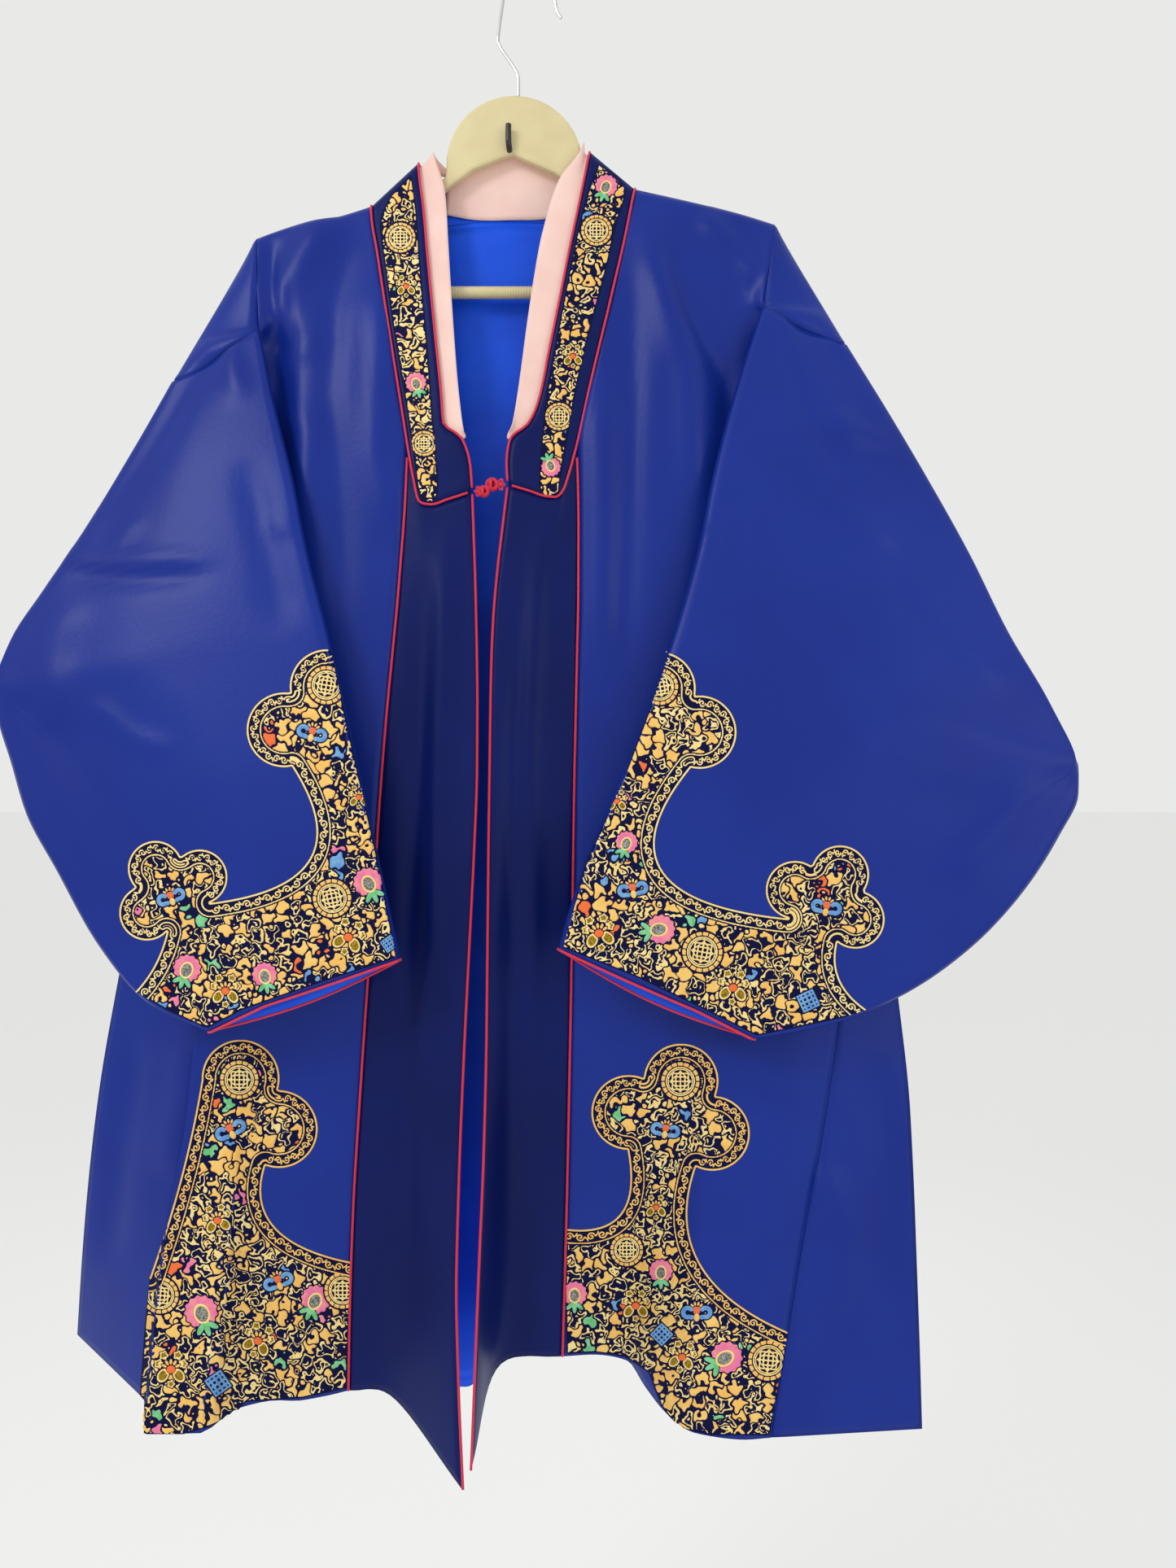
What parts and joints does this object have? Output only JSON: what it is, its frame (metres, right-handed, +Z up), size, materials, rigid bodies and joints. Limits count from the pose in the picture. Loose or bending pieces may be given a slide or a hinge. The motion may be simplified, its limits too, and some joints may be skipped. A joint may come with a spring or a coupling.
{
  "type": "wide-sleeved haori-style coat on a wooden clothes hanger",
  "caption": "Royal-blue satin haori-style coat with wide sleeves, red piping and gold ornament at cuffs and hem, hung on a wooden hanger by its wire hook.",
  "frame": {"origin": "hang point of the hook, inside the top of its arch where a rail carries it", "axes": "+Z up, +X to the right of a viewer who faces the coat's front, +Y away from that viewer"},
  "size_m": [0.9208, 0.1422, 1.2878],
  "materials": {
    "blue_satin": "satin weave, sheen",
    "navy_band": "satin weave with a gold strip",
    "blue_lining": "bright lining",
    "pink_collar": "soft crepe",
    "red_cord": "satin cord",
    "pale_wood": "clear varnish",
    "steel_wire": "bright wire",
    "black_plastic": "matte"
  },
  "bodies": {
    "root": {"back_lining": "blue_lining", "back_panel": "blue_satin", "bag_hook": "black_plastic", "centre_panel_l": "blue_satin", "centre_panel_r": "blue_satin", "collar_band_l": "navy_band", "collar_band_r": "navy_band", "collar_piping_inner_l": "red_cord", "collar_piping_inner_r": "red_cord", "collar_piping_outer_l": "red_cord", "collar_piping_outer_r": "red_cord", "cuff_piping_l": "red_cord", "cuff_piping_r": "red_cord", "frog_button": "red_cord", "frog_loop": "red_cord", "front_panel_l": "blue_satin", "front_panel_r": "blue_satin", "front_piping_l": "red_cord", "front_piping_r": "red_cord", "hanger_board": "pale_wood", "hanger_hook": "steel_wire", "inner_collar_back": "pink_collar", "inner_collar_l": "pink_collar", "inner_collar_r": "pink_collar", "seam_piping_l": "red_cord", "seam_piping_r": "red_cord", "side_panel_l": "blue_satin", "side_panel_r": "blue_satin", "sleeve_l": "blue_satin", "sleeve_r": "blue_satin", "trouser_bar": "pale_wood"}
  },
  "joints": []
}
